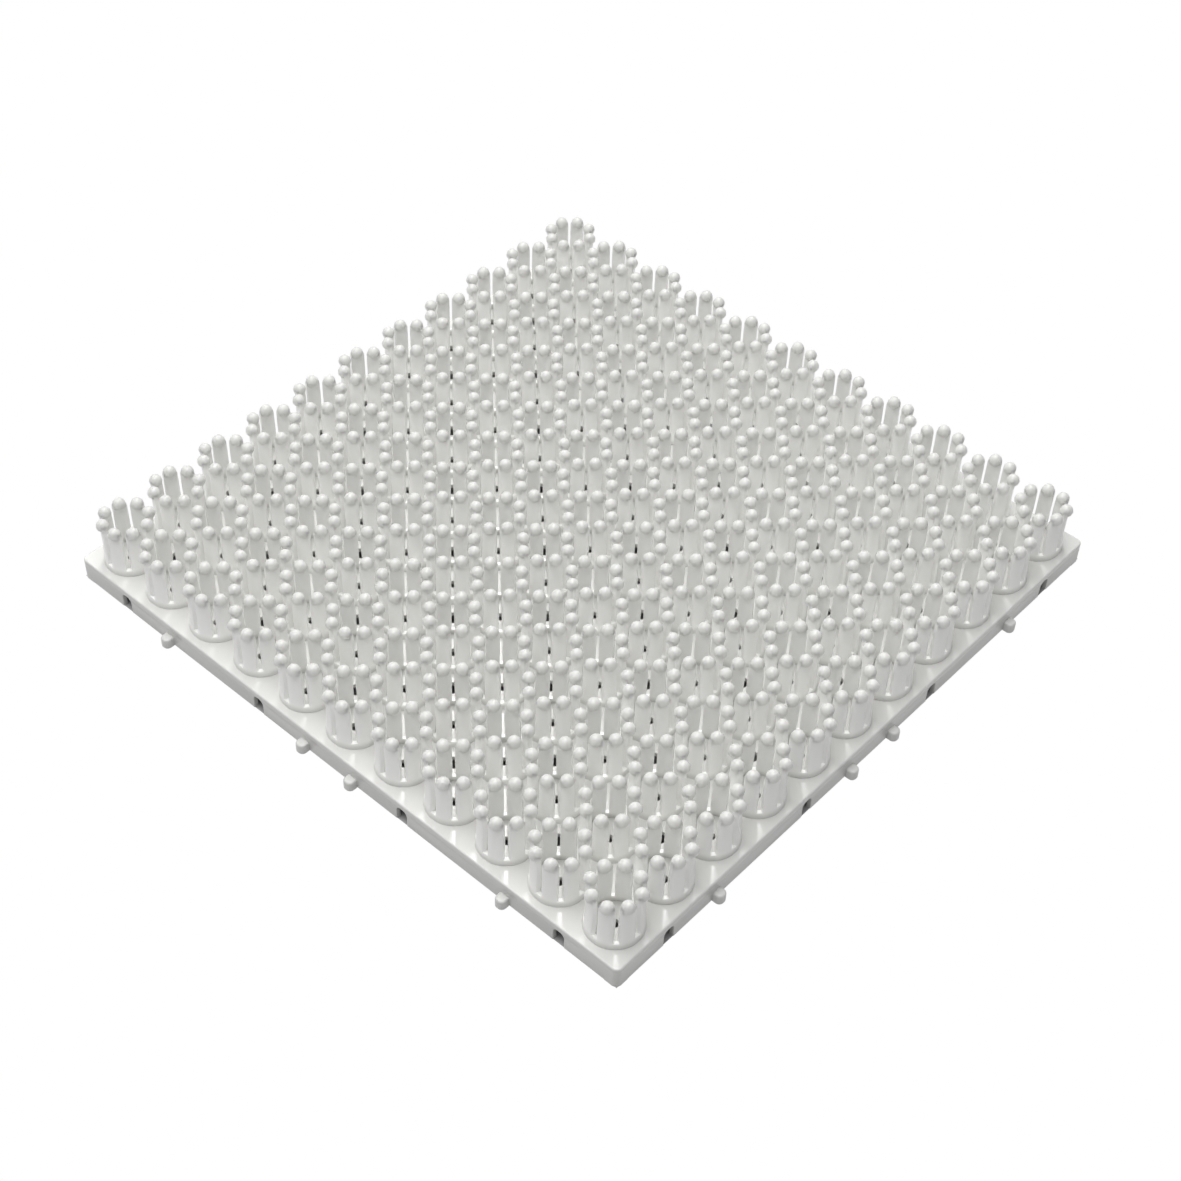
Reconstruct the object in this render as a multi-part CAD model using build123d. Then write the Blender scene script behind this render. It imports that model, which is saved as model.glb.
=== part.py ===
"""Open-finger plug tray tile: a square deck on a shallow skirt, with eleven rows of eleven cups.

Each cup is a ring of eight springy fingers on a low collar. Every finger ends in a ball, and the
eight balls of a cup grip what is pushed in between them. Tabs and notches round the skirt join
equal tiles edge to edge. Millimetres, +Z up, origin on the ground under the tile's centre.
"""
from build123d import *
import os
from math import cos, radians, sin

# ---- driving dimensions ----
TILE = 300.0            # side of the deck, tabs left out
CUPS = 11               # cups along each side
PITCH = 27.0            # cup to cup
SKIRT_HEIGHT = 10.5     # ground to the top of the deck
DECK = 2.0              # deck thickness
SKIRT = 2.0             # skirt wall thickness
CORNER = 2.5            # radius of the tile's upright corners
EDGE_ROUND = 0.7        # rounding of the deck's top edge
POST = 6.0              # length of each corner post's two legs
RIB = 1.5               # underside rib thickness
RIB_LINES = (-3.75, -1.25, 1.25, 3.75)   # rib lines in pitches from the centre, clear of every hole

FLOOR_HOLE = 2.0        # radius of the hole in each cup's floor
DRAIN_HOLE = 3.0        # radius of the drain holes between cups

FINGERS = 8             # fingers round each cup
STEP = 360.0 / FINGERS
WALL = 1.7              # finger and collar thickness
COLLAR = 3.0            # height of the unslit collar
FINGER_WIDTH = 5.8      # width of a finger, the same from the collar to its round top
BALL = 2.8              # ball radius
BALL_RING = 9.76        # from the cup's axis to each ball's centre
BALL_HEIGHT = 22.1      # each ball's centre above the deck
SHOULDER = 21.0         # height above the deck where a finger's round top begins
# outside of the waisted cup, from the deck to the balls: radius, height above the deck
FOOT = (11.7, 0.0)
COLLAR_TOP = (11.4, COLLAR)
FLARE = (11.0, 8.0)
WAIST = (10.85, 14.0)
LEAN = (10.9, 18.0)
LIP = (11.15, SHOULDER + FINGER_WIDTH / 2)

TAB_WIDTH = 4.8
TAB_REACH = 3.8         # how far a tab stands out from the skirt
TAB_HEIGHT = 4.6
NOTCH_WIDTH = 5.4
NOTCH_HEIGHT = 7.5

# Tabs and notches sit midway between cup lines, in pitches from the middle of the side. The two
# kinds of side are each other's opposite, so a tab always faces a notch of the next tile.
OUTER_PLACES = (-4.5, -1.5, 1.5, 4.5)
INNER_PLACES = (-3.5, -0.5, 0.5, 3.5)

HALF = TILE / 2
DECK_TOP = SKIRT_HEIGHT
DECK_UNDER = SKIRT_HEIGHT - DECK


def block(x0, x1, y0, y1, z0, z1):
    """A box between two corners."""
    return Pos(x0, y0, z0) * Box(x1 - x0, y1 - y0, z1 - z0, align=(Align.MIN,) * 3)


def cup_line(index):
    """Distance from the tile's centre to the middle of one row or column."""
    return (index - CUPS // 2) * PITCH


def deck_plate():
    """The deck, with a hole in every cup's floor and drain holes on every other crossing."""
    plate = extrude(Pos(0, 0, DECK_UNDER) * RectangleRounded(TILE, TILE, CORNER), DECK)
    plate = fillet(plate.faces().sort_by(Axis.Z)[-1].edges(), EDGE_ROUND)
    floors = [(cup_line(i), cup_line(j)) for i in range(CUPS) for j in range(CUPS)]
    drains = [
        (cup_line(i) + PITCH / 2, cup_line(j) + PITCH / 2)
        for i in range(CUPS - 1)
        for j in range(CUPS - 1)
        if (i + j) % 2
    ]
    holes = Sketch() + [Pos(x, y) * Circle(FLOOR_HOLE) for x, y in floors]
    holes += [Pos(x, y) * Circle(DRAIN_HOLE) for x, y in drains]
    return plate - extrude(Pos(0, 0, DECK_UNDER) * holes, DECK)


def finger():
    """One finger with its share of the collar, standing out from the cup's axis along +X."""
    inside = [(radius - WALL, height) for radius, height in (FOOT, COLLAR_TOP, FLARE, WAIST, LEAN, LIP)]
    with BuildSketch(Plane.XZ) as section:
        with BuildLine():
            Line(FOOT, COLLAR_TOP)
            ThreePointArc(COLLAR_TOP, FLARE, WAIST)
            ThreePointArc(WAIST, LEAN, LIP)
            Line(LIP, inside[5])
            ThreePointArc(inside[5], inside[4], inside[3])
            ThreePointArc(inside[3], inside[2], inside[1])
            Polyline(inside[1], inside[0], FOOT)
        make_face()
    wall = revolve(Rot(0, 0, -STEP / 2) * section.sketch, Axis.Z, STEP)
    # the slits: above the collar the wall is trimmed to a parallel, round-topped outline
    half, share = FINGER_WIDTH / 2, FOOT[0]
    with BuildSketch(Plane.YZ) as outline:
        with BuildLine():
            Polyline((-half, SHOULDER), (-half, COLLAR), (-share, COLLAR), (-share, 0), (share, 0))
            Polyline((share, 0), (share, COLLAR), (half, COLLAR), (half, SHOULDER))
            ThreePointArc((-half, SHOULDER), (0, SHOULDER + half), (half, SHOULDER))
        make_face()
    stem = wall & extrude(outline.sketch, FOOT[0] * 2)
    return stem + Pos(BALL_RING, 0, BALL_HEIGHT) * Sphere(BALL)


def cup_row(one, row):
    """The fingers of the eleven cups along one row."""
    turns = [(step + 0.5) * STEP for step in range(FINGERS)]
    return [
        Pos(cup_line(column), cup_line(row), DECK_TOP) * Rot(0, 0, turn) * one
        for column in range(CUPS)
        for turn in turns
    ]


def skirt_wall(turn, notches):
    """One side's wall: a top band, and panels below it with a notch between each two."""
    end = HALF - POST
    face = -HALF
    pieces = [block(-end, end, face, face + SKIRT, NOTCH_HEIGHT, DECK_UNDER)]
    left = -end
    for place in notches:
        middle = place * PITCH
        pieces.append(block(left, middle - NOTCH_WIDTH / 2, face, face + SKIRT, 0, NOTCH_HEIGHT))
        left = middle + NOTCH_WIDTH / 2
    pieces.append(block(left, end, face, face + SKIRT, 0, NOTCH_HEIGHT))
    return [Rot(0, 0, turn) * piece for piece in pieces]


def skirt_corners():
    """The four rounded corner posts that the walls run into."""
    post = extrude(RectangleRounded(TILE, TILE, CORNER), DECK_UNDER)
    post -= block(SKIRT - HALF, HALF - SKIRT, SKIRT - HALF, HALF - SKIRT, 0, DECK_UNDER)
    post &= block(-HALF, POST - HALF, -HALF, POST - HALF, 0, DECK_UNDER)
    return [Rot(0, 0, 90 * quarter) * post for quarter in range(4)]


def side_tabs(turn, places):
    """One side's joining tabs, round-ended, standing out from the foot of the skirt."""
    nose = TAB_WIDTH / 2
    straight = TAB_REACH - nose
    plan = Pos(0, -HALF - straight / 2) * Rectangle(TAB_WIDTH, straight)
    plan += Pos(0, -HALF - straight) * Circle(nose)
    plan &= Pos(0, -HALF - TAB_REACH / 2) * Rectangle(TAB_WIDTH, TAB_REACH)
    tab = extrude(plan, TAB_HEIGHT)
    return [Rot(0, 0, turn) * Pos(place * PITCH, 0, 0) * tab for place in places]


def rib_spans():
    """The stretches between the rib lines and the skirt, from one side to the other."""
    lines = [line * PITCH for line in RIB_LINES]
    starts = [SKIRT - HALF] + [line + RIB / 2 for line in lines]
    ends = [line - RIB / 2 for line in lines] + [HALF - SKIRT]
    return list(zip(starts, ends))


def underside_ribs():
    """Long ribs along Y, and cross ribs along X between them."""
    reach = HALF - SKIRT
    lines = [line * PITCH for line in RIB_LINES]
    long_ribs = [block(x - RIB / 2, x + RIB / 2, -reach, reach, 0, DECK_UNDER) for x in lines]
    cross_ribs = [
        block(start, end, y - RIB / 2, y + RIB / 2, 0, DECK_UNDER)
        for y in lines
        for start, end in rib_spans()
    ]
    return long_ribs, cross_ribs


def save(node, solids):
    """Write one node's solids to its STEP file."""
    shape = solids if not isinstance(solids, list) else Compound(children=list(solids))
    shape.label = node
    export_step(shape, f"parts/{node}.step")


def main():
    os.makedirs("parts", exist_ok=True)
    save("deck_plate", deck_plate())
    sides = {
        "front": (0, OUTER_PLACES, INNER_PLACES),
        "left": (-90, OUTER_PLACES, INNER_PLACES),
        "right": (90, INNER_PLACES, OUTER_PLACES),
        "back": (180, INNER_PLACES, OUTER_PLACES),
    }
    for side, (turn, notches, tabs) in sides.items():
        save(f"skirt_{side}", skirt_wall(turn, notches))
        save(f"tabs_{side}", side_tabs(turn, tabs))
    save("skirt_corners", skirt_corners())
    long_ribs, cross_ribs = underside_ribs()
    save("ribs_long", long_ribs)
    save("ribs_cross", cross_ribs)
    one = finger()
    for row in range(CUPS):
        save(f"cup_row_{row + 1:02d}", cup_row(one, row))


main()
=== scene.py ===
"""Dresses the plug tray tile in moulded plastic: cups of fingers, deck, skirt, tabs and ribs."""

import math

import bmesh
import bpy
from mathutils import Matrix, Vector


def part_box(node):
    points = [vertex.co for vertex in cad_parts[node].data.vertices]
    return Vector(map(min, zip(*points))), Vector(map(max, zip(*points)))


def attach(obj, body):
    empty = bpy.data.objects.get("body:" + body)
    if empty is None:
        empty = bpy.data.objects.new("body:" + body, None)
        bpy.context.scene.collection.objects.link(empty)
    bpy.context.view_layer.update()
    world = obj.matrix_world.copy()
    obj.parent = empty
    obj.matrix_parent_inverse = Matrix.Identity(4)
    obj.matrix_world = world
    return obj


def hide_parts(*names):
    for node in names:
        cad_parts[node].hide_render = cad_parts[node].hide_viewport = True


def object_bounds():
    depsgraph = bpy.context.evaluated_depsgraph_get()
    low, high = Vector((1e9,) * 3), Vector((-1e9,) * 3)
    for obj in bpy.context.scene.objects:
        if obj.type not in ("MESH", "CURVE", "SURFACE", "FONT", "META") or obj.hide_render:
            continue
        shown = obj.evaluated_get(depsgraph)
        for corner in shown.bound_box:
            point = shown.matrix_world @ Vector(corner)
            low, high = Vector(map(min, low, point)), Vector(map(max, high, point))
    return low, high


bl_info = {
    "name": "Plug tray tile",
    "version": (1, 0, 0),
    "blender": (4, 5, 0),
    "location": "3D View > Sidebar > Plug tray",
    "description": "Cups of ball-tipped fingers, deck, skirt, tabs and ribs of a plug tray tile",
    "category": "Mesh",
}

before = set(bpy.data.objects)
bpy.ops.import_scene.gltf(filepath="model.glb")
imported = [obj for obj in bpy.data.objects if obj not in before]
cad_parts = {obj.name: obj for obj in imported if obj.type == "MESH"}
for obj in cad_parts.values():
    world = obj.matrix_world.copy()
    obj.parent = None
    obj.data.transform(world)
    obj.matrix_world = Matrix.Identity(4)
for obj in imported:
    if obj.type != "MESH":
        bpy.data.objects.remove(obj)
CAD_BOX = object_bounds()
BODY = "root"
MM = 0.001
NEAR = 0.01 * MM     # slack when places are compared

DECK_LOW, DECK_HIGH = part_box("deck_plate")
HALF = (DECK_HIGH[0] - DECK_LOW[0]) / 2
DECK_TOP = DECK_HIGH[2]
DECK_UNDER = DECK_LOW[2]
ROWS = sorted(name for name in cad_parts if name.startswith("cup_row_"))
PITCH = (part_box(ROWS[-1])[0][1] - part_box(ROWS[0])[0][1]) / (len(ROWS) - 1)


def length(label, text, size):
    """A length property with its default in metres."""
    return bpy.props.FloatProperty(
        name=label, description=text, default=size, min=0.0, unit="LENGTH", precision=5,
    )


class TrayCupSizes(bpy.types.PropertyGroup):
    """Sizes of one cup."""

    wall: length("Wall", "Thickness of the collar and fingers", 1.7 * MM)
    collar: length("Collar", "Height of the unslit ring at the foot", 3.0 * MM)
    foot_radius: length("Foot radius", "Outside radius where the cup meets the deck", 11.7 * MM)
    waist_radius: length("Waist radius", "Outside radius at the narrowest height", 10.85 * MM)
    waist: length("Waist", "Height of the narrowest part over the deck", 14.0 * MM)
    lip_radius: length("Lip radius", "Outside radius just under the balls", 11.1 * MM)
    finger: length("Finger", "Width of a finger, and twice the radius of its round top", 6.1 * MM)
    shoulder: length("Shoulder", "Height over the deck where the round top begins", 21.0 * MM)
    edge: length("Finger edge", "Width of the bevel down each finger's outer edges", 0.4 * MM)
    ball: length("Ball", "Radius of each ball tip", 2.8 * MM)
    ball_ring: length("Ball ring", "Distance of the balls from the cup's axis", 9.76 * MM)
    ball_height: length("Ball height", "Height of the balls' centres over the deck", 22.1 * MM)


class TraySkirtSizes(bpy.types.PropertyGroup):
    """Sizes of the skirt's walls, notches and tabs."""

    wall: length("Wall", "Thickness of the skirt", 2.0 * MM)
    post: length("Corner post", "Length of each corner post's legs", 6.0 * MM)
    edge: length("Edge", "Rounding of the skirt's outer edges", 0.3 * MM)
    notch_width: length("Notch width", "Width of a notch", 5.4 * MM)
    notch_height: length("Notch height", "Height of a notch above the ground", 7.5 * MM)
    notch_arch: length("Notch arch", "Rounding of a notch's top corners", 2.2 * MM)
    tab_width: length("Tab width", "Width of a joining tab", 4.8 * MM)
    tab_reach: length("Tab reach", "How far a tab stands out from the skirt", 3.8 * MM)
    tab_height: length("Tab height", "Height of a tab above the ground", 4.6 * MM)
    tab_nose: length("Tab nose", "Rounding of a tab's upright edges", 2.0 * MM)
    tab_round: length("Tab round", "Rounding of a tab's top edge", 0.9 * MM)


class TrayFinish(bpy.types.PropertyGroup):
    """Colour and gloss of the plastic."""

    colour: bpy.props.FloatVectorProperty(
        name="Plastic", description="Colour of the plastic", subtype="COLOR", size=3,
        min=0.0, max=1.0, default=(0.97, 0.97, 0.945),
    )
    roughness: bpy.props.FloatProperty(
        name="Roughness", description="Roughness of the moulded skin", subtype="FACTOR",
        min=0.0, max=1.0, default=0.34,
    )
    milkiness: bpy.props.FloatProperty(
        name="Milkiness", description="Share of the light that soaks into the thin fingers",
        subtype="FACTOR", min=0.0, max=1.0, default=0.55,
    )
    soak: length("Soak", "How far light travels inside the plastic", 1.5 * MM)


# ---- materials ----

# Each region's painted shade and roughness against the finish, and the scale of its orange peel.
# The deck, skirt and ribs are the cups' own plastic, darkened by painted shade.
REGIONS = {
    "cup": (1.0, 1.0, 900.0),
    "deck": (0.71, 0.7, 700.0),
    "skirt": (0.67, 1.1, 900.0),
    "rib": (0.67, 1.1, 900.0),
}
FOOT_REACH = 4.0 * MM    # how far up from the deck the cups' feet get painted shade, darker in the crease by the deck
FOOT_DEPTH = 0.25
TIP_REACH = 6.0 * MM     # how far down from the top the ball tips get painted shade, which tones down their lit tops
TIP_DEPTH = 0.36
FLOW_SCALE = 14.0        # the slow drift in shade and gloss
FLOW_DETAIL = 3.0
PEEL_DETAIL = 2.0        # the orange peel
PEEL_STRENGTH = 0.02
PEEL_DISTANCE = 0.2 * MM
PLASTIC_IOR = 1.49

SKIN_INPUTS = {
    "Colour": (0.8, 0.8, 0.8, 1.0),
    "Roughness": 0.35,
    "Drift": 0.04,       # how far the shade and the gloss wander over the tile
    "Peel Scale": 900.0,
    "Foot Height": 0.0,
    "Foot Depth": 0.0,
    "Tip Height": 1.0,
    "Tip Depth": 0.0,
}
SKIN_OUTPUTS = ("Colour", "Roughness", "Height")


def socket(group, label, in_out, value=None):
    """One named socket on a node group, a colour or a number."""
    kind = "NodeSocketColor" if label == "Colour" else "NodeSocketFloat"
    made = group.interface.new_socket(name=label, in_out=in_out, socket_type=kind)
    if value is not None:
        made.default_value = value


def calculate(nodes, links, operation, *terms):
    """The result of one Math node, whose terms are sockets or numbers."""
    node = nodes.new("ShaderNodeMath")
    node.operation = operation
    for place, term in zip(node.inputs, terms):
        if isinstance(term, bpy.types.NodeSocket):
            links.new(term, place)
        else:
            place.default_value = term
    return node.outputs[0]


def height_shade(nodes, links, start, where, end, reach):
    """A socket of 1 that falls by the end's depth: down towards the foot, or up towards the tip. It
    is painted shade on the cups' colour.
    """
    height, depth = start.outputs[f"{end} Height"], start.outputs[f"{end} Depth"]
    split = nodes.new("ShaderNodeSeparateXYZ")
    links.new(where, split.inputs[0])
    fall = nodes.new("ShaderNodeMapRange")
    fall.interpolation_type = "SMOOTHSTEP"
    links.new(split.outputs["Z"], fall.inputs["Value"])
    links.new(height, fall.inputs["From Min"])
    links.new(calculate(nodes, links, "ADD", height, reach), fall.inputs["From Max"])
    shaded, plain = ("To Min", "To Max") if end == "Foot" else ("To Max", "To Min")
    links.new(calculate(nodes, links, "SUBTRACT", 1.0, depth), fall.inputs[shaded])
    fall.inputs[plain].default_value = 1.0
    return fall.outputs["Result"]


def skin_and_painted_shade_group():
    """Slow drift in shade and gloss, painted shade at the cups' feet and ball tips, and the fine
    peel of a moulded skin.
    """
    found = bpy.data.node_groups.get("moulded_skin_and_painted_shade")
    if found:
        return found
    group = bpy.data.node_groups.new("moulded_skin_and_painted_shade", "ShaderNodeTree")
    for label, value in SKIN_INPUTS.items():
        socket(group, label, "INPUT", value)
    for label in SKIN_OUTPUTS:
        socket(group, label, "OUTPUT")
    nodes, links = group.nodes, group.links
    start, end = nodes.new("NodeGroupInput"), nodes.new("NodeGroupOutput")
    where = nodes.new("ShaderNodeTexCoord").outputs["Object"]

    flow = nodes.new("ShaderNodeTexNoise")
    flow.inputs["Scale"].default_value = FLOW_SCALE
    flow.inputs["Detail"].default_value = FLOW_DETAIL
    links.new(where, flow.inputs["Vector"])
    drift = start.outputs["Drift"]
    darkest = calculate(nodes, links, "MULTIPLY_ADD", drift, -0.5, 1.0)
    shade = calculate(nodes, links, "MULTIPLY_ADD", flow.outputs["Fac"], drift, darkest)
    rough = calculate(nodes, links, "MULTIPLY", start.outputs["Roughness"], shade)
    links.new(rough, end.inputs["Roughness"])

    # painted shade, darker down at the cups' feet and up at their ball tips
    foot = height_shade(nodes, links, start, where, "Foot", FOOT_REACH)
    tip = height_shade(nodes, links, start, where, "Tip", TIP_REACH)
    ends = calculate(nodes, links, "MULTIPLY", foot, tip)
    tint = nodes.new("ShaderNodeVectorMath")
    tint.operation = "SCALE"
    links.new(start.outputs["Colour"], tint.inputs[0])
    links.new(calculate(nodes, links, "MULTIPLY", shade, ends), tint.inputs["Scale"])
    links.new(tint.outputs["Vector"], end.inputs["Colour"])

    peel = nodes.new("ShaderNodeTexNoise")
    peel.inputs["Detail"].default_value = PEEL_DETAIL
    links.new(where, peel.inputs["Vector"])
    links.new(start.outputs["Peel Scale"], peel.inputs["Scale"])
    links.new(peel.outputs["Fac"], end.inputs["Height"])
    return group


def plastic(region):
    """The tile's white plastic, lighter or darker by region as painted shade. On the cups it is
    milky too.
    """
    shade, roughness, peel = REGIONS[region]
    finish = bpy.context.scene.tray_finish
    material = bpy.data.materials.new(f"{region}_plastic")
    material.use_nodes = True
    nodes, links = material.node_tree.nodes, material.node_tree.links
    shader = nodes["Principled BSDF"]
    shader.inputs["IOR"].default_value = PLASTIC_IOR
    skin = nodes.new("ShaderNodeGroup")
    skin.node_tree = skin_and_painted_shade_group()
    # the region's painted shade darkens the plastic's colour
    skin.inputs["Colour"].default_value = (*(shade * part for part in finish.colour), 1.0)
    skin.inputs["Roughness"].default_value = roughness * finish.roughness
    skin.inputs["Peel Scale"].default_value = peel
    if region == "cup":
        # painted shade in the crease at each cup's foot
        skin.inputs["Foot Height"].default_value = DECK_TOP
        skin.inputs["Foot Depth"].default_value = FOOT_DEPTH
        # painted shade that tones down the lit tops of the balls
        skin.inputs["Tip Height"].default_value = CAD_BOX[1][2] - TIP_REACH
        skin.inputs["Tip Depth"].default_value = TIP_DEPTH
        shader.inputs["Subsurface Weight"].default_value = finish.milkiness
        shader.inputs["Subsurface Radius"].default_value = (1.0, 1.0, 1.0)
        shader.inputs["Subsurface Scale"].default_value = finish.soak
    links.new(skin.outputs["Colour"], shader.inputs["Base Color"])
    links.new(skin.outputs["Roughness"], shader.inputs["Roughness"])
    bump = nodes.new("ShaderNodeBump")
    bump.inputs["Strength"].default_value = PEEL_STRENGTH
    bump.inputs["Distance"].default_value = PEEL_DISTANCE
    links.new(skin.outputs["Height"], bump.inputs["Height"])
    links.new(bump.outputs["Normal"], shader.inputs["Normal"])
    return material


# ---- meshes ----

SMOOTH_ANGLE = math.radians(42)    # sharper edges than this stay crisp


def new_piece(label, bm, material, node):
    """Makes a finished piece from a bmesh and lets it stand for a CAD node."""
    mesh = bpy.data.meshes.new(label)
    bm.to_mesh(mesh)
    bm.free()
    for face in mesh.polygons:
        face.use_smooth = True
    mesh.set_sharp_from_angle(angle=SMOOTH_ANGLE)
    mesh.materials.append(material)
    piece = bpy.data.objects.new(label, mesh)
    bpy.context.scene.collection.objects.link(piece)
    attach(piece, BODY)
    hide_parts(node)


def round_off(bm, geom, size, steps, affect="EDGES", clamp=False):
    """Bevels edges or corners to a rounding of the given size."""
    bmesh.ops.bevel(
        bm, geom=geom, offset=size, segments=steps, profile=0.5, affect=affect, material=-1,
        clamp_overlap=clamp,
    )


# ---- cups ----

FINGERS = 8
SPAN = 4                           # faces across each finger
ROUND = FINGERS * (SPAN + 1)       # faces round a cup, with one in each slit
# Where the storeys of a finger end, as shares of its straight part and of its round top.
STRAIGHT_STOREYS = (0.25, 0.5, 0.75, 1.0)
TOP_STOREYS = (0.45, 0.8, 0.97)
BALL_AROUND = 12                   # faces round a ball, and from its pole to pole
BALL_DOWN = 8


def outside_radius(height, s):
    """Outside radius of the cup at a height over the deck: wide at the foot, waisted above."""
    if height <= s.waist:
        return s.waist_radius + (s.foot_radius - s.waist_radius) * (1 - height / s.waist) ** 2
    rise = (height - s.waist) / (s.ball_height - s.waist)
    return s.waist_radius + (s.lip_radius - s.waist_radius) * rise ** 2


def half_angle(height, radius, s):
    """Half of the angle a finger takes up: parallel-sided, and round-topped above the shoulder."""
    rise = max(0.0, height - s.shoulder)
    return math.asin(math.sqrt((s.finger / 2) ** 2 - rise ** 2) / radius)


def settle(verts, height, marks, s):
    """Puts one storey of the cup's vertices in place."""
    finger_of, across_of, inside_of = marks
    for vert in verts:
        radius = outside_radius(height, s) - (s.wall if vert[inside_of] else 0.0)
        share = (vert[across_of] - SPAN / 2) / (SPAN / 2)
        middle = (vert[finger_of] + 0.5) * math.tau / FINGERS
        turn = middle + share * half_angle(height, radius, s)
        vert.co = Matrix.Rotation(turn, 3, "Z") @ Vector((radius, 0, height))


def cup_template(s):
    """One cup on its own axis: a spun collar, eight fingers raised from it, and their balls."""
    bm = bmesh.new()
    marks = tuple(bm.verts.layers.int.new(name) for name in ("finger", "across", "inside"))
    finger_of, across_of, inside_of = marks
    radii = (s.foot_radius - s.wall, s.foot_radius)
    inner, outer = (bm.verts.new((radius, 0, 0)) for radius in radii)
    inner[inside_of] = 1
    rim = bm.edges.new((inner, outer))
    bmesh.ops.spin(
        bm, geom=[inner, outer, rim], axis=(0, 0, 1), angle=math.tau, steps=ROUND, use_merge=True,
    )
    for vert in bm.verts:
        place = round(math.atan2(vert.co.y, vert.co.x) / math.tau * ROUND) % ROUND
        vert[finger_of], vert[across_of] = divmod(place, SPAN + 1)
    settle(bm.verts, 0.0, marks, s)
    storey = list(bm.faces)
    heights = [s.collar / 2, s.collar]
    heights += [s.collar + (s.shoulder - s.collar) * share for share in STRAIGHT_STOREYS]
    heights += [s.shoulder + s.finger / 2 * share for share in TOP_STOREYS]
    for height in heights:
        if height > s.collar:
            storey = [face for face in storey if one_finger(face, finger_of)]
        made = bmesh.ops.extrude_face_region(bm, geom=storey)["geom"]
        if height > heights[0]:    # the first storey's floor stays, and closes the cup's foot
            bmesh.ops.delete(bm, geom=storey, context="FACES_KEEP_BOUNDARY")
        storey = [part for part in made if isinstance(part, bmesh.types.BMFace)]
        settle([part for part in made if isinstance(part, bmesh.types.BMVert)], height, marks, s)
    bmesh.ops.recalc_face_normals(bm, faces=bm.faces)
    corners = [edge for edge in bm.edges if outer_corner(edge, marks, s)]
    round_off(bm, corners, s.edge, 1, clamp=True)
    spot = Matrix.Translation((s.ball_ring, 0, s.ball_height))
    for finger in range(FINGERS):
        turn = Matrix.Rotation((finger + 0.5) * math.tau / FINGERS, 4, "Z")
        bmesh.ops.create_uvsphere(
            bm, u_segments=BALL_AROUND, v_segments=BALL_DOWN, radius=s.ball, matrix=turn @ spot,
        )
    mesh = bpy.data.meshes.new("cup_template")
    bm.to_mesh(mesh)
    bm.free()
    return mesh


def one_finger(face, finger_of):
    """Whether a face belongs to one finger, and not to the slit between two."""
    return len({vert[finger_of] for vert in face.verts}) == 1


def outer_corner(edge, marks, s):
    """Whether an edge runs up a finger's outer corner."""
    finger_of, across_of, inside_of = marks
    one, two = edge.verts
    if one[inside_of] or two[inside_of] or one[finger_of] != two[finger_of]:
        return False
    if one[across_of] != two[across_of] or one[across_of] not in (0, SPAN):
        return False
    return min(one.co.z, two.co.z) > s.collar - NEAR


def cup_row(template, row):
    """The cups along one row as one bmesh."""
    bm = bmesh.new()
    middle = (len(ROWS) - 1) / 2
    for column in range(len(ROWS)):
        before = len(bm.verts)
        bm.from_mesh(template)
        bm.verts.ensure_lookup_table()
        place = ((column - middle) * PITCH, (row - middle) * PITCH, DECK_TOP)
        bmesh.ops.translate(bm, vec=place, verts=bm.verts[before:])
    return bm


class TRAY_OT_cups(bpy.types.Operator):
    """Build every row of cups"""

    bl_idname = "tray.cups"
    bl_label = "Cups"

    def execute(self, context):
        template = cup_template(context.scene.tray_cup)
        material = plastic("cup")
        for row, node in enumerate(ROWS):
            new_piece(f"fingers_{node}", cup_row(template, row), material, node)
        bpy.data.meshes.remove(template)
        return {"FINISHED"}


# ---- skirt and tabs ----

ARCH_STEPS = 5     # faces round a notch's top corners and a tab's nose
TOP_STEPS = 3      # faces over a tab's top edge
EDGE_STEPS = 2     # faces over the skirt's outer edges

# Each side's turn about +Z in degrees, then its notches and its tabs in pitches from its middle.
OUTER_PLACES = (-4.5, -1.5, 1.5, 4.5)
INNER_PLACES = (-3.5, -0.5, 0.5, 3.5)
SIDES = {
    "front": (0, OUTER_PLACES, INNER_PLACES),
    "left": (-90, OUTER_PLACES, INNER_PLACES),
    "right": (90, INNER_PLACES, OUTER_PLACES),
    "back": (180, INNER_PLACES, OUTER_PLACES),
}


def skirt_wall(notches, s):
    """The front side's wall: an outline with arched notches, thickened and softly edged."""
    end = HALF - s.post
    half = s.notch_width / 2
    profile = [(-end, DECK_UNDER), (-end, 0.0)]
    for place in notches:
        left, right = place * PITCH - half, place * PITCH + half
        profile += [(left, 0.0), (left, s.notch_height), (right, s.notch_height), (right, 0.0)]
    profile += [(end, 0.0), (end, DECK_UNDER)]
    bm = bmesh.new()
    verts = [bm.verts.new((x, -HALF, z)) for x, z in profile]
    bm.faces.new(verts)
    arches = [vert for vert in verts if NEAR < vert.co.z < DECK_UNDER - NEAR]
    round_off(bm, arches, s.notch_arch, ARCH_STEPS, affect="VERTICES")
    wall = bmesh.ops.extrude_face_region(bm, geom=list(bm.faces))["geom"]
    inner = [part for part in wall if isinstance(part, bmesh.types.BMVert)]
    bmesh.ops.translate(bm, vec=(0, s.wall, 0), verts=inner)
    bmesh.ops.recalc_face_normals(bm, faces=bm.faces)
    round_off(bm, [edge for edge in bm.edges if soft_edge(edge, end)], s.edge, EDGE_STEPS)
    return bm


def soft_edge(edge, end):
    """Whether an edge of the front wall is on its outer face, along the ground or round a notch."""
    if any(vert.co.y > NEAR - HALF or abs(vert.co.x) > end + NEAR for vert in edge.verts):
        return False
    at_end = all(abs(vert.co.x) > end - NEAR for vert in edge.verts)
    return not at_end and min(vert.co.z for vert in edge.verts) < DECK_UNDER - NEAR


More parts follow.
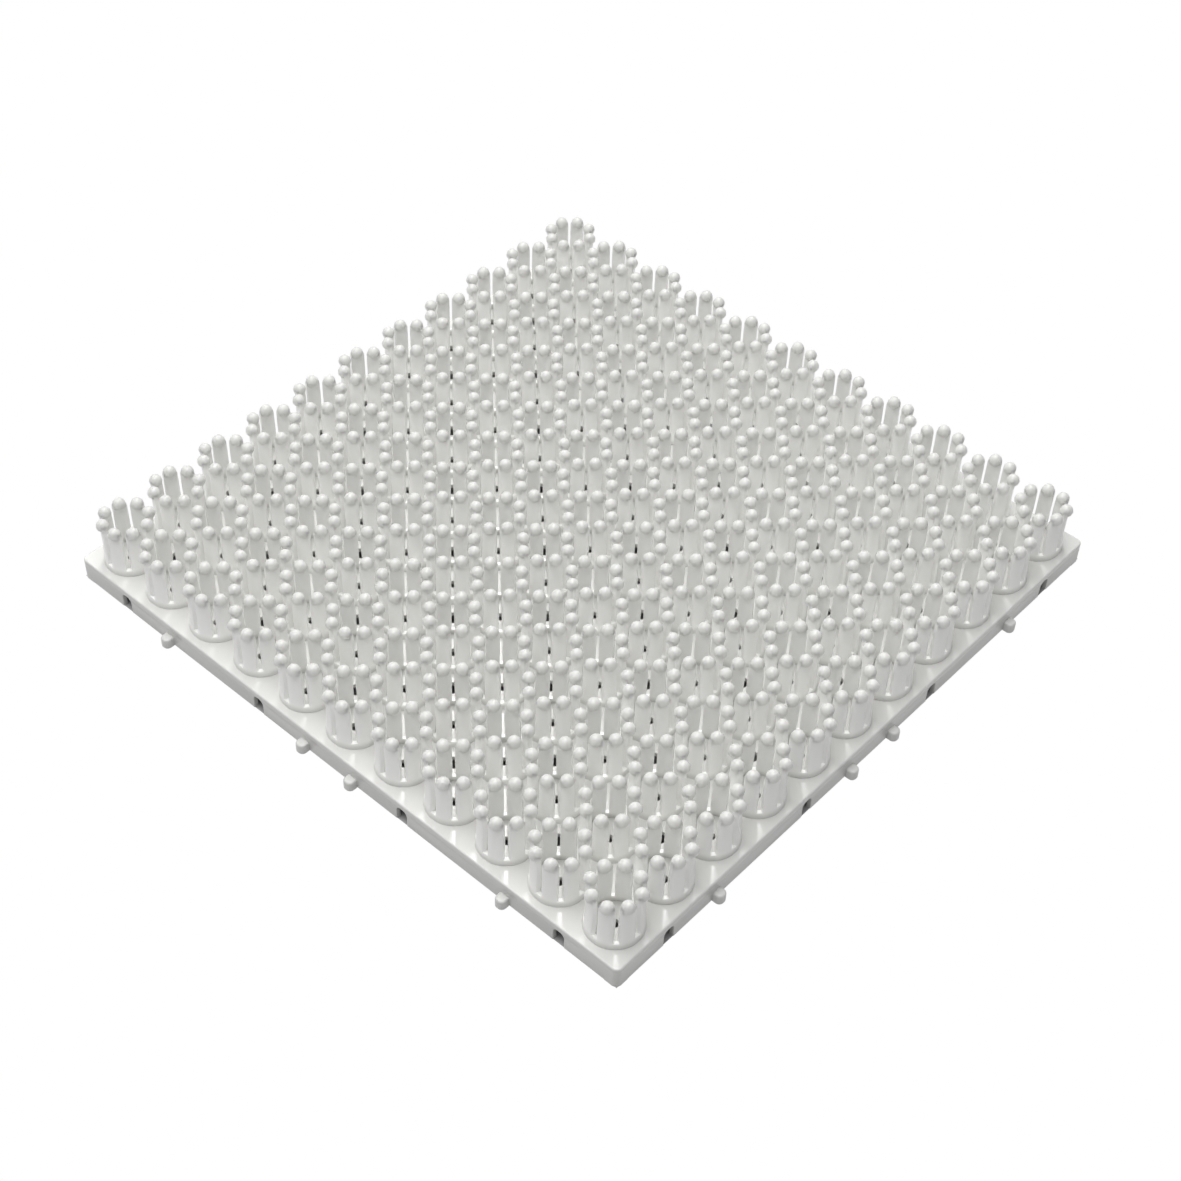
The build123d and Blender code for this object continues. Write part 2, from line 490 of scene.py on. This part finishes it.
def side_tabs(places, s):
    """The front side's tabs, blocks with a round nose and a soft top edge."""
    bm = bmesh.new()
    for place in places:
        made = bmesh.ops.create_cube(bm, size=1.0)["verts"]
        bmesh.ops.scale(bm, vec=(s.tab_width, s.tab_reach, s.tab_height), verts=made)
        spot = (place * PITCH, -HALF - s.tab_reach / 2, s.tab_height / 2)
        bmesh.ops.translate(bm, vec=spot, verts=made)
    face_line = -HALF - s.tab_reach
    nose = [edge for edge in bm.edges if is_tab_nose(edge, face_line)]
    round_off(bm, nose, s.tab_nose, ARCH_STEPS)
    round_off(bm, [edge for edge in bm.edges if is_tab_top(edge, s)], s.tab_round, TOP_STEPS)
    return bm


def is_tab_nose(edge, face_line):
    """Whether an edge stands up at a tab's far face."""
    one, two = edge.verts
    return abs(one.co.z - two.co.z) > NEAR and abs(one.co.y - face_line) < NEAR


def is_tab_top(edge, s):
    """Whether an edge runs round a tab's top, away from the skirt."""
    if any(vert.co.z < s.tab_height - NEAR for vert in edge.verts):
        return False
    return any(vert.co.y < -HALF - NEAR for vert in edge.verts)


class TRAY_OT_skirt(bpy.types.Operator):
    """Build the skirt's four walls and their joining tabs"""

    bl_idname = "tray.skirt"
    bl_label = "Skirt and tabs"

    def execute(self, context):
        sizes = context.scene.tray_skirt
        # the skirt's plastic is darkened by painted shade
        material = plastic("skirt")
        for side, (turn, notches, tabs) in SIDES.items():
            about_z = Matrix.Rotation(math.radians(turn), 3, "Z")
            shapes = {"skirt": skirt_wall(notches, sizes), "tabs": side_tabs(tabs, sizes)}
            for label, bm in shapes.items():
                bmesh.ops.rotate(bm, cent=(0, 0, 0), matrix=about_z, verts=bm.verts)
                new_piece(f"moulded_{label}_{side}", bm, material, f"{label}_{side}")
        return {"FINISHED"}


# ---- deck, corner posts and ribs ----

class TRAY_OT_base(bpy.types.Operator):
    """Give the deck, corner posts and ribs their plastic"""

    bl_idname = "tray.base"
    bl_label = "Deck and ribs"

    def execute(self, context):
        # the deck's and the ribs' plastic are darkened by painted shade
        deck, ribs = plastic("deck"), plastic("rib")
        looks = {"deck_plate": deck, "skirt_corners": ribs, "ribs_long": ribs, "ribs_cross": ribs}
        for name, material in looks.items():
            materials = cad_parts[name].data.materials
            materials.clear()
            materials.append(material)
        return {"FINISHED"}


# ---- stage ----

WHITE = (1.0, 1.0, 1.0, 1.0)
FLOOR_HALF = 4.0
FLOOR_COLOUR = (0.4, 0.4, 0.4)
PATCH_INSET = 0.3 * MM    # the patch is the floor in the tile's own shade
PATCH_LIFT = 0.05 * MM
PATCH_COLOUR = (0.5, 0.5, 0.5)
# Each lamp's place, its size and its watts.
LAMPS = {
    "key": ((0.68, 0.60, 1.25), 0.25, 7.8),
    "overhead": ((-0.25, 0.2, 1.5), 1.3, 22.5),
}
SKY = 0.385               # strength of the sky's light, which isn't what the camera sees

CAMERA_SPOT = (-17.928, -15.46, 23.598)   # in cup pitches, from the middle of the deck's top
CAMERA_HEADING = 40.641                   # degrees from +X towards +Y
CAMERA_DIP = 46.007                       # degrees below the horizon
CAMERA_ROLL = 2.147                       # degrees
CAMERA_LENS = 1.8068                      # focal length over the frame's width
CAMERA_REACH = 10.0                       # metres
SENSOR = 36.0                             # millimetres


def ground(label, half, height):
    """A square of floor, with an empty material."""
    bm = bmesh.new()
    bmesh.ops.create_grid(bm, x_segments=2, y_segments=2, size=half)
    bmesh.ops.translate(bm, vec=(0, 0, height), verts=bm.verts)
    mesh = bpy.data.meshes.new(label)
    bm.to_mesh(mesh)
    bm.free()
    piece = bpy.data.objects.new(label, mesh)
    bpy.context.scene.collection.objects.link(piece)
    material = bpy.data.materials.new(label)
    material.use_nodes = True
    material.node_tree.nodes.clear()
    mesh.materials.append(material)
    nodes = material.node_tree.nodes
    return nodes, material.node_tree.links, nodes.new("ShaderNodeOutputMaterial")


def white_floor():
    """A wide floor that looks white to the camera, and its shaded patch under the tile."""
    nodes, links, out = ground("floor", FLOOR_HALF, 0.0)
    blend = nodes.new("ShaderNodeMixShader")
    matte = nodes.new("ShaderNodeBsdfDiffuse")
    matte.inputs["Color"].default_value = (*FLOOR_COLOUR, 1.0)
    glow = nodes.new("ShaderNodeEmission")
    path = nodes.new("ShaderNodeLightPath")
    rays = (path.outputs["Is Camera Ray"], path.outputs["Is Glossy Ray"])
    links.new(calculate(nodes, links, "MAXIMUM", *rays), blend.inputs["Fac"])
    links.new(matte.outputs[0], blend.inputs[1])
    links.new(glow.outputs[0], blend.inputs[2])
    links.new(blend.outputs[0], out.inputs["Surface"])
    nodes, links, out = ground("floor_under_tile", HALF - PATCH_INSET, PATCH_LIFT)
    shade = nodes.new("ShaderNodeBsdfDiffuse")
    shade.inputs["Color"].default_value = (*PATCH_COLOUR, 1.0)
    links.new(shade.outputs[0], out.inputs["Surface"])


def lamp(label, spot, size, watts):
    """One soft square lamp aimed at the tile."""
    data = bpy.data.lights.new(label, "AREA")
    data.size = size
    data.energy = watts
    light = bpy.data.objects.new(label, data)
    light.location = spot
    light.rotation_euler = (-Vector(spot)).to_track_quat("-Z", "Y").to_euler()
    bpy.context.scene.collection.objects.link(light)


def soft_light():
    """A lamp high behind the tile, a soft one overhead, and a pale sky that looks white."""
    for label, (spot, size, watts) in LAMPS.items():
        lamp(label, spot, size, watts)
    world = bpy.data.worlds.new("studio")
    bpy.context.scene.world = world
    world.use_nodes = True
    nodes, links = world.node_tree.nodes, world.node_tree.links
    sky, seen = nodes["Background"], nodes.new("ShaderNodeBackground")
    sky.inputs["Color"].default_value = WHITE
    sky.inputs["Strength"].default_value = SKY
    seen.inputs["Color"].default_value = WHITE
    path, blend = nodes.new("ShaderNodeLightPath"), nodes.new("ShaderNodeMixShader")
    links.new(path.outputs["Is Camera Ray"], blend.inputs["Fac"])
    links.new(sky.outputs[0], blend.inputs[1])
    links.new(seen.outputs[0], blend.inputs[2])
    links.new(blend.outputs[0], nodes["World Output"].inputs["Surface"])


def set_camera():
    """The camera, high over the front left corner and looking across the tile."""
    data = bpy.data.cameras.new("camera")
    data.sensor_width = SENSOR
    data.lens = CAMERA_LENS * SENSOR
    data.clip_end = CAMERA_REACH
    camera = bpy.data.objects.new("camera", data)
    spot = Vector(CAMERA_SPOT) * PITCH + Vector((0, 0, DECK_TOP))
    turn = (
        Matrix.Rotation(math.radians(CAMERA_HEADING - 90), 3, "Z")
        @ Matrix.Rotation(math.radians(90 - CAMERA_DIP), 3, "X")
        @ Matrix.Rotation(math.radians(CAMERA_ROLL), 3, "Z")
    )
    camera.matrix_world = Matrix.Translation(spot) @ turn.to_4x4()
    bpy.context.scene.collection.objects.link(camera)
    bpy.context.scene.camera = camera


class TRAY_OT_stage(bpy.types.Operator):
    """Set the white floor, the soft lamps and the camera"""

    bl_idname = "tray.stage"
    bl_label = "Stage"

    def execute(self, context):
        white_floor()
        soft_light()
        set_camera()
        context.scene.view_settings.view_transform = "Standard"
        return {"FINISHED"}


# ---- panel and add-on ----

class TRAY_PT_panel(bpy.types.Panel):
    """Lists the tile's pieces and sizes"""

    bl_idname = "TRAY_PT_panel"
    bl_label = "Plug tray"
    bl_space_type = "VIEW_3D"
    bl_region_type = "UI"
    bl_category = "Plug tray"

    def draw(self, context):
        for group, sizes in GROUPS.items():
            for name in sizes.__annotations__:
                self.layout.prop(getattr(context.scene, group), name)
        for operator in OPERATORS:
            self.layout.operator(operator.bl_idname)


GROUPS = {"tray_cup": TrayCupSizes, "tray_skirt": TraySkirtSizes, "tray_finish": TrayFinish}
OPERATORS = (TRAY_OT_stage, TRAY_OT_base, TRAY_OT_skirt, TRAY_OT_cups)
CLASSES = (*GROUPS.values(), *OPERATORS, TRAY_PT_panel)


def register():
    for made in CLASSES:
        bpy.utils.register_class(made)
    for group, sizes in GROUPS.items():
        setattr(bpy.types.Scene, group, bpy.props.PointerProperty(type=sizes))


def unregister():
    for group in GROUPS:
        delattr(bpy.types.Scene, group)
    for made in reversed(CLASSES):
        bpy.utils.unregister_class(made)


def main():
    register()
    bpy.ops.tray.stage()
    bpy.ops.tray.base()
    bpy.ops.tray.skirt()
    bpy.ops.tray.cups()


if __name__ == "__main__":
    main()
